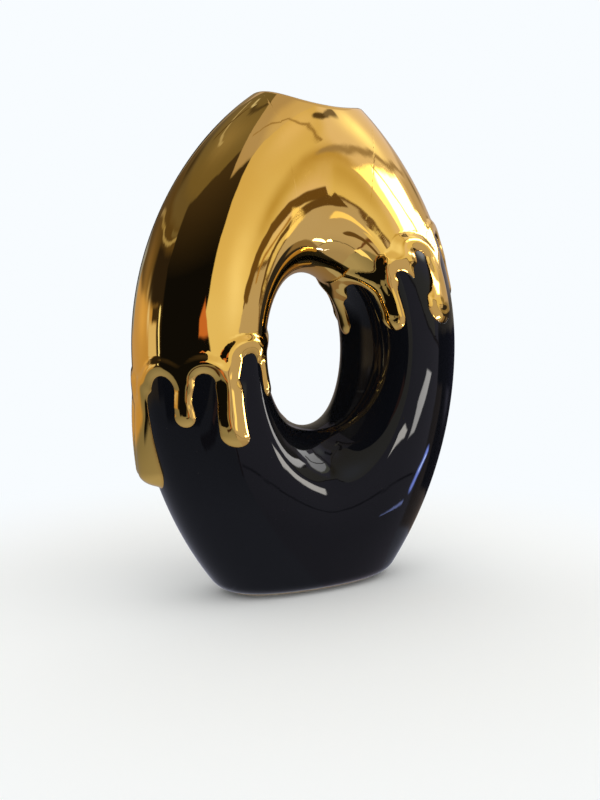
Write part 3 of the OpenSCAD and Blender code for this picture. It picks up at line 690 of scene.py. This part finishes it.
def foot_surface(sections=180, edge_r=0.45, corner=5):
    """The standing ring: a rounded rectangle carried along the base's oval, whose half axes are the
    flat of the base less the inset. Oval of power 2.2: x = a cos^e, y = b sin^e with the signs kept."""
    t = 2 * np.pi * np.arange(sections) / sections
    e = 2 / SECTION_POWER
    cx, cy = (np.sign(f(t)) * np.abs(f(t)) ** e for f in (np.cos, np.sin))
    outs, highs = [], []
    for k, (out, high) in enumerate([(1, 0), (1, 1), (0, 1), (0, 0)]):
        turn = np.radians(-90 + 90 * k + np.linspace(0, 90, corner))
        outs.append(FOOT_INSET + edge_r + (FOOT_W - 2 * edge_r) * (1 - out) - edge_r * np.cos(turn))
        highs.append(edge_r + (FOOT_H - 2 * edge_r) * high + edge_r * np.sin(turn))
    inset, height = np.concatenate(outs), np.concatenate(highs)
    a, b = BASE_X - BASE_EDGE_R - inset, BASE_Y - BASE_EDGE_R - inset
    points = np.stack(np.broadcast_arrays(cx[:, None] * a, cy[:, None] * b, height), -1)
    ids = np.arange(points.size // 3).reshape(points.shape[:2])
    after = np.roll(ids, -1, 0)
    faces = np.stack([ids, after, np.roll(after, -1, 1), np.roll(ids, -1, 1)], -1)
    return points.reshape(-1, 3), faces.reshape(-1, 4)


foot = mesh_object("standing_ring", *foot_surface())
foot.data.materials.append(bare_clay("bare_foot", True))
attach(foot, "root")
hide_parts("foot_ring")


# The studio: a pale floor that runs into the background, two soft lamps, and a room and a
# few cards near the vase that glow with painted reflections, highlights and shade, which only reflections
# see
def seen_rays(look):
    """1 for camera, glossy and transmission rays."""
    path = look.node("ShaderNodeLightPath")
    return path[0].biggest(path[3]).biggest(path[6])


BACKGROUND = rgb(0.938, 0.973, 1.0)
# The floor's half width in metres, its lines each way, and how far from the vase it turns into the
# background
FLOOR_HALF, FLOOR_LINES, FLOOR_FADE = 12, 121, (0.16, 0.42)
world = bpy.data.worlds.new("studio_light")
bpy.context.scene.world = world
sky = Look("studio_light", world)
soft = sky.node("ShaderNodeBackground", {}, {"Color": rgb(1.0, 0.995, 0.985), "Strength": 0.9})[0]
plain_sky = sky.node("ShaderNodeBackground", {}, {"Color": BACKGROUND, "Strength": 1.0})[0]
mixed_sky = sky.node("ShaderNodeMixShader", {}, {0: seen_rays(sky), 1: soft, 2: plain_sky})[0]
sky.node("ShaderNodeOutputWorld", {}, {"Surface": mixed_sky})

lines = np.linspace(-FLOOR_HALF, FLOOR_HALF, FLOOR_LINES) / MM
fx, fy = np.meshgrid(lines, lines, indexing="ij")
ids = np.arange(fx.size).reshape(fx.shape)
tiles = np.stack([ids[:-1, :-1], ids[1:, :-1], ids[1:, 1:], ids[:-1, 1:]], -1).reshape(-1, 4)
floor = mesh_object("floor", np.stack([fx.ravel(), fy.ravel(), np.zeros(fx.size)], -1), tiles)
ground = Look("pale_floor")
split = ground.node("ShaderNodeSeparateXYZ", {}, {"Vector": ground.place()})
away = (split[0] * split[0] + split[1] * split[1]).power(0.5).between(*FLOOR_FADE)
matt = ground.node("ShaderNodeBsdfDiffuse", {}, {"Color": rgb(0.98, 1.0, 1.0)})[0]
far = ground.node("ShaderNodeEmission", {}, {"Color": BACKGROUND, "Strength": 1.0})[0]
mixed_floor = ground.node("ShaderNodeMixShader", {}, {0: away * seen_rays(ground), 1: matt, 2: far})[0]
ground.node("ShaderNodeOutputMaterial", {}, {"Surface": mixed_floor})
floor.data.materials.append(ground.owner)


def direction(azimuth, elevation):
    """The unit vector towards an azimuth from the front, turning to the right, and an elevation."""
    a, e = np.radians(azimuth), np.radians(elevation)
    return np.stack(np.broadcast_arrays(np.sin(a) * np.cos(e), -np.cos(a) * np.cos(e), np.sin(e)), -1)


# Where the room's directions start, the far dome's radius, and the elevation below which the room is
# painted on the table instead
MIDDLE, DOME_R, HORIZON = np.array([0, 0, 150.0]), 10000, -0.7


def light(r, g, b, times=1.0):
    """The light value of a colour given as a screen shows it, 0 to 255."""
    v = np.array([r, g, b]) / 255
    return times * np.where(v <= 0.04045, v / 12.92, ((v + 0.055) / 1.055) ** 2.4)


def eased_step(x, low, high):
    """0 below low, 1 above high, and 3 t^2 - 2 t^3 of the way between."""
    t = np.clip((x - low) / (high - low), 0, 1)
    return t * t * (3 - 2 * t)


class Room:
    """The painted reflections that the gloss shows: a colour for each azimuth and elevation, layer over
    layer, and the share of each place that is painted. All angles are degrees. Sines of both angles make
    the shapes' edges waver by up to half a degree."""

    def __init__(self, azimuth, elevation):
        a, e = azimuth, elevation
        self.a = a + 0.35 * np.sin(0.33 * e + 0.09 * a + 1.0) + 0.12 * np.sin(0.9 * e - 0.31 * a)
        self.e = e + 0.3 * np.sin(0.27 * a - 0.13 * e) + 0.1 * np.sin(0.83 * a + 0.4 * e + 2.0)
        self.tone, self.share = np.zeros(a.shape + (3,)) + light(120, 112, 98), np.zeros(a.shape)

    def paint(self, mask, tone):
        """Lays a tone over the room where the mask is 1. The first tone at a place takes it whole."""
        self.tone += np.where(self.share > 0, mask, 1)[..., None] * (tone - self.tone)
        self.share += mask * (1 - self.share)

    def box(self, left, right, low, high, soft, tone):
        """A box with soft sides: the product of an eased step up and one down, each way."""
        x = eased_step(self.a, left - soft[0] / 2, left + soft[0] / 2)
        x = x - eased_step(self.a, right - soft[0] / 2, right + soft[0] / 2)
        y = eased_step(self.e, low - soft[1] / 2, low + soft[1] / 2)
        y = y - eased_step(self.e, high - soft[1] / 2, high + soft[1] / 2)
        self.paint(x * y, tone)

    def shape(self, points, soft, tone):
        """A convex shape with soft edges: the least distance inside its sides."""
        p = np.array(points, float)
        q = np.roll(p, -1, 0)
        turn = np.sign((p[:, 0] * q[:, 1] - q[:, 0] * p[:, 1]).sum())
        inside = np.full(self.a.shape, 1e3)
        for (x, y), (dx, dy) in zip(p, q - p):
            inside = np.minimum(inside, turn * ((self.e - y) * dx - (self.a - x) * dy) / np.hypot(dx, dy))
        self.paint(eased_step(inside, -soft / 2, soft / 2), tone)

    def blob(self, middle, radii, tone):
        """A soft spot: its share is e to minus the square of the distance in radii."""
        far = ((self.a - middle[0]) / radii[0]) ** 2 + ((self.e - middle[1]) / radii[1]) ** 2
        self.paint(np.exp(-far), tone)

    def strip(self, points, half, soft, tone):
        """A line through the points with soft edges: the least distance to its pieces."""
        away = np.full(self.a.shape, 1e3)
        for (x, y), (s, t) in zip(points[:-1], points[1:]):
            dx, dy = s - x, t - y
            k = np.clip(((self.a - x) * dx + (self.e - y) * dy) / (dx * dx + dy * dy), 0, 1)
            away = np.minimum(away, np.hypot(self.a - x - k * dx, self.e - y - k * dy))
        self.paint(1 - eased_step(away, half - soft / 2, half + soft / 2), tone)


# The room, all painted reflections with painted highlights and shade. Each shape's place and tone
# follows what the vase mirrors in the photograph. A box that is as wide as this goes all the way round
wide = 400
below, above = -np.geomspace(89, 0.9, 150), np.linspace(-0.6, 90, 260)
across, rise = np.meshgrid(np.linspace(-180, 180, 901), np.concatenate([below, above]), indexing="ij")
room = Room(across, rise)
# the ceiling's painted reflection
room.box(-wide, wide, 47, 200, (1, 5), light(113, 106, 92))
room.blob((-85, 68), (55, 8), light(140, 131, 118))
room.strip([(-172, 61), (-150, 64), (-92, 66)], 0.9, 1.2, light(178, 176, 182))
room.strip([(-162, 73), (-130, 78)], 1.2, 1.5, light(200, 205, 225))
room.strip([(-128, 79), (-25, 81)], 1.6, 2.5, light(80, 72, 64))
room.strip([(-146, 57), (-144, 72)], 2, 2, light(84, 68, 42))
room.box(-19, wide, 47, 200, (1.2, 3), light(178, 168, 176))
room.box(4, 135, 47, 64, (14, 12), light(204, 194, 192))
# painted reflections of the walls at the left and behind
room.box(-wide, -74, 36, 48, (4, 6), light(104, 98, 92))
room.blob((-155, 42), (14, 6), light(66, 58, 48))
room.box(-wide, -74, 12, 38, (4, 5), light(88, 76, 60))
room.blob((-142, 20), (14, 7), light(122, 105, 84))
room.blob((-124, 15), (4, 4), light(190, 178, 175))
room.box(-122, -70, 13, 30, (10, 4), light(42, 37, 40))
room.strip([(-166, 25), (-150, 30), (-125, 32.5)], 0.8, 1.2, light(150, 142, 125))
room.strip([(-128, 32), (-105, 31.5), (-82, 34.5)], 0.7, 1.0, light(165, 162, 158))
room.strip([(-98, 36), (-84, 36)], 1.0, 1.4, light(112, 107, 101))
# painted reflections and highlights low on the left
room.box(-wide, -90, -14, 12.5, (6, 4), light(190, 162, 122))
room.blob((-134, 8), (14, 6), light(214, 186, 145))
room.box(-112, -91, -7, 8, (5, 3), light(216, 209, 208))
room.blob((-115, 9), (3, 4), light(226, 226, 250))
room.box(-104, -91, 8, 13, (3, 2), light(60, 52, 48))
room.box(-92, -80, -14, 14, (3, 3), light(52, 44, 40))
room.strip([(-85.5, -1), (-86.5, 12)], 1.3, 1.2, light(235, 245, 255, 1.3))
room.box(-wide, -167, 3, 17, (3, 4), light(150, 160, 178))
# painted reflections of the table and what stands low on it
down = np.clip((-18 - rise) / 30, 0, 1)[..., None]
table_reflection = light(128, 130, 140) * (1 - down) + light(168, 170, 186) * down
bright_table_reflection = light(186, 181, 198) * (1 - 0.25 * down)
room.box(-wide, wide, -90, -14, (1, 6), table_reflection)
room.box(-5, 66, -90, 8, (3, 4), bright_table_reflection)
room.box(66, wide, -50, 3, (5, 3), light(134, 120, 112))
room.box(77, 135, -34, 2, (4, 3), light(40, 38, 46))
room.blob((95, -8), (7, 5), light(112, 110, 128))
room.strip([(-3, -28.6), (62, -28.6)], 0.4, 0.5, light(60, 52, 50))
# painted reflection of the dark furniture
high = np.clip((rise - 22) / 30, 0, 1)[..., None]
shade = light(15, 16, 24) * (1 - high) + light(66, 58, 54) * high
room.box(-82, -40, -20, 46, (4, 4), shade)
room.shape([(-84, 25), (-79, 46), (-55, 52), (-20, 56.5), (-18, 47), (-14, 10), (-40, -14)], 1.6, shade)
room.shape([(-60, 8), (-60, 47), (-1.8, 46.5), (-15, 10)], 1.2, shade)
room.shape([(-60, -21), (-60, 12), (-15.5, 10), (-9, -4), (-20, -12), (-38, -21)], 1.2, shade)
room.strip([(-38, -26), (-26, -22.5), (-16, -17), (-10, -9)], 2.2, 2.0, light(62, 42, 34))
room.strip([(-20, -18), (-12, -13), (-7, -9)], 0.8, 0.8, light(196, 128, 96))
room.strip([(-6, -32), (-1.5, -18), (4, -8), (11, 0)], 0.7, 0.8, light(104, 74, 60))
room.shape([(-23.5, 3.5), (-22.5, 8), (-18, 13), (-14, 8), (-12.5, 3.5)], 1.6, light(196, 122, 84))
# painted reflection of the bright wall in front, with painted highlights
up = np.clip((rise - 12) / 34, 0, 1)[..., None]
wall = light(226, 220, 200) * (1 - up) + light(210, 198, 172) * up
room.shape([(-8.5, -3), (-16, 10), (-1.5, 47), (4, 50), (60, 52), (60, -3)], 0.9, wall)
room.blob((13, 14), (9, 9), light(246, 248, 252))
room.blob((22, 44), (9, 7), light(226, 217, 215))
room.box(34, 135, 14, 50, (5, 4), light(226, 219, 240))
room.blob((62, 39), (12, 5), light(250, 255, 255, 1.4))
room.blob((29, 21), (5, 4.5), light(190, 174, 128))
room.blob((33, 26), (4, 3), light(186, 168, 124))
room.strip([(31.5, 45), (35, 42.5), (38, 42.5)], 1.6, 1.4, light(84, 74, 66))
room.strip([(38, 43), (50, 43.5)], 2.0, 2.2, light(120, 114, 124))
room.strip([(-12, 60), (4, 58), (18, 52), (28, 42), (33, 31)], 0.35, 0.4, light(150, 130, 100))
room.strip([(34, 27), (44, 31.5), (56, 33.5), (84, 33), (110, 27)], 0.8, 1.2, light(160, 148, 148))
room.box(78, 135, 8, 31, (8, 3), light(190, 180, 182))
room.blob((106, 26), (5, 3), light(120, 108, 88))
# painted highlights of the window, up to seven times as bright as white
painted_daylight = light(255, 255, 255, 7)
room.shape([(34.5, 23.5), (40.5, 27.2), (46, 29.5), (70, 32), (74, 24), (70, 18.5), (56, 16.2),
            (46, 16), (39, 19)], 0.8, light(255, 255, 225, 1.9))
room.shape([(42, 25), (46, 28.5), (70, 31.5), (74, 24), (70, 19), (56, 16.8), (47, 17), (43, 20)],
           1.5, painted_daylight)
room.shape([(70, 25), (79, 24.8), (93, 18.5), (88, 16), (70, 18.5)], 1.0, painted_daylight)
room.strip([(47, 29), (51, 26), (56, 23.8), (64, 21.3), (74, 20)], 0.5, 0.5, light(172, 158, 140))
# below it, the arch's painted reflection
room.shape([(10, -12), (13, 0), (20, 8), (25.5, 12.8), (33, 12.6), (40, 11), (47, 4), (47, -12)],
           0.8, bright_table_reflection)
room.shape([(40, -10), (40, 8), (54, 4), (66, 0.5), (66, -10)], 0.8, bright_table_reflection)
room.strip([(20, 8), (25.5, 12.8), (33, 12.7), (40, 11), (45.9, 6.4), (54, 4), (66, 0.5)], 0.35, 0.5,
           light(96, 74, 54))
room.box(66, 135, -6, 3.5, (3, 2), light(44, 44, 58))

# The painted reflections' material: it glows with each vertex's painted tone where the share says it is
# painted, and is clear elsewhere
paint = Look("room")
clear = paint.node("ShaderNodeBsdfTransparent")[0]
tone = paint.node("ShaderNodeAttribute", {"attribute_name": "tone"})[0]
glow = paint.node("ShaderNodeEmission", {}, {"Color": tone, "Strength": 1.0})[0]
mixed_paint = paint.node("ShaderNodeMixShader", {}, {0: paint.attribute("share"), 1: clear, 2: glow})[0]
paint.node("ShaderNodeOutputMaterial", {}, {"Surface": mixed_paint})


def hang(name, room, points):
    """A backdrop that only reflections see, glowing with the room's painted reflections, clear where
    nothing is painted.
    """
    ids = np.arange(room.share.size).reshape(room.share.shape)
    faces = np.stack([ids[:-1, :-1], ids[:-1, 1:], ids[1:, 1:], ids[1:, :-1]], -1).reshape(-1, 4)
    piece = mesh_object(name, points.reshape(-1, 3), faces)
    tones = np.concatenate([room.tone, np.ones(room.share.shape + (1,))], -1).astype(np.float32)
    made = piece.data.attributes.new("tone", "FLOAT_COLOR", "POINT")
    made.data.foreach_set("color", tones.ravel())
    attribute(piece, "share", room.share.ravel())
    piece.data.materials.append(paint.owner)
    piece.visible_camera = piece.visible_diffuse = False
    piece.visible_transmission = piece.visible_shadow = False


# The room's painted reflections glow on a far dome and, below the horizon, on a plane just above the table
to_table = (MIDDLE[2] - 0.3) / np.sin(np.radians(np.maximum(-rise, 0.5)))
distance = np.where(rise < HORIZON, to_table, DOME_R)
room.share[:] = 1
hang("painted_reflection_dome", room, MIDDLE + distance[..., None] * direction(across, rise))


class Card:
    """A card close to the vase that glows with a painted highlight, reflection or shade, which only
    reflections see: its directions from a place near its face, all at one distance.
    """

    def __init__(self, name, start, distance, left, right, low, high, steps=120):
        a, e = np.meshgrid(np.linspace(left, right, steps), np.linspace(low, high, steps), indexing="ij")
        self.name, self.room = name, Room(a, e)
        self.points = np.array(start) + distance * direction(a, e)

    def put_up(self):
        hang(self.name, self.room, self.points)


# The painted highlights, reflections and shade near the vase, each from the place on it that mirrors it
CROWN_SPOT = (-40, -36, 205)
# Painted highlights: two bright window panes that the black glaze mirrors below the hole
card = Card("window_pane_highlights", (5, -35, 85), 170, 32, 70, -12, 18)
card.room.shape([(50.5, -6), (55, -4.5), (62, 4), (67, 14), (62, 15.5), (55, 5)], 1.2,
                light(255, 252, 248, 12))
card.room.shape([(35, -9), (46, -5.8), (47.5, -3.5), (44, -1.8), (36, -3)], 1.0,
                light(255, 250, 242, 16))
card.put_up()
# A painted highlight, a little brighter than white
card = Card("sill_highlight", (-60, -38, 110), 150, 8, 28, -18, 6, 60)
card.room.box(12, 23, -14, 2, (2, 3), light(255, 250, 240, 1.2))
card.put_up()
# Painted shade: a dark card that the hole's inner wall mirrors
card = Card("shade_behind", (30, 0, 140), 220, -195, -125, -20, 75, 60)
card.room.box(-188, -138, -15, 62, (12, 14), light(22, 21, 18))
card.put_up()
# Painted reflection: dark brown bands and a lighter line that the gold round the hole mirrors
card = Card("arch_reflection", CROWN_SPOT, 100, 4, 56, -16, 36)
card.room.strip([(11.5, -7), (18.6, 5.4), (22.7, 10.7), (27.9, 16.2), (32.1, 21.4), (37.3, 24.2),
                 (42.8, 28), (49.7, 29.5), (58, 29.3)], 3.0, 1.2, light(104, 84, 58))
card.room.strip([(44, -12), (40.7, -5.3), (38.9, 1), (38.7, 6), (40.5, 11), (46, 18), (50, 22.5),
                 (58, 26)], 2.6, 1.2, light(98, 80, 60))
card.room.strip([(22.8, 0), (25.8, 6.2), (30.9, 11), (35.4, 13.5), (40, 17.5), (44, 22)], 0.8, 1.0,
                light(168, 140, 100))
card.put_up()
# A painted cream highlight that the gold mirrors
card = Card("ceiling_highlight", CROWN_SPOT, 100, 40, 64, 0, 34, 60)
card.room.shape([(46, 17), (44, 27), (49.5, 25), (53, 14), (56, 7), (51, 8)], 1.5,
                light(255, 244, 214, 1.1))
card.put_up()
# Painted highlights: blue streaks that the black glaze mirrors
card = Card("blue_streak_highlights", (64, -35, 70), 120, 20, 90, -52, 0)
card.room.strip([(72, -9), (69, -15), (65.2, -19.8), (61.5, -26)], 2.2, 3.6,
                light(110, 140, 255, 14) + 2)
card.room.strip([(72, -11), (69, -15), (67, -18)], 0.7, 1.4, light(190, 210, 255, 24))
card.room.strip([(28, -36), (38, -35), (48, -34.5), (55, -33)], 0.9, 1.8,
                light(150, 170, 255, 8) + 1)
card.put_up()


def lamp(name, azimuth, elevation, strength, distance=1.3, side=0.8):
    """A soft square lamp that faces the vase, in metres. Its power is strength times pi times area."""
    bulb = bpy.data.lights.new(name, "AREA")
    bulb.shape, bulb.size, bulb.size_y = "RECTANGLE", side, side
    bulb.energy = strength * math.pi * side * side
    bulb.color = (1.0, 0.97, 0.92)
    towards = Vector(direction(azimuth, elevation))
    hung = bpy.data.objects.new(name, bulb)
    hung.location = Vector(MIDDLE * MM) + towards * distance
    hung.rotation_euler = towards.to_track_quat("Z", "Y").to_euler()
    hung.visible_glossy = False
    bpy.context.scene.collection.objects.link(hung)


lamp("window_light", 55, 40, 0.6)
lamp("top_light", -10, 78, 0.5)

# The camera, fitted to the photograph's outline of the vase
SENSOR_W, LENS = 36.0, 33.81
CAMERA_AT, CAMERA_TOWARDS = (-0.2353, -0.4126, 0.1456), (0.4874, 0.8710, -0.0623)
camera = bpy.data.objects.new("camera", bpy.data.cameras.new("camera"))
camera.data.sensor_width, camera.data.lens = SENSOR_W, LENS
camera.data.clip_start, camera.data.clip_end = 0.01, 20.0
camera.location = CAMERA_AT
camera.rotation_euler = Vector(CAMERA_TOWARDS).to_track_quat("-Z", "Y").to_euler()
bpy.context.scene.collection.objects.link(camera)
bpy.context.scene.camera = camera
bpy.context.scene.view_settings.view_transform = "Standard"
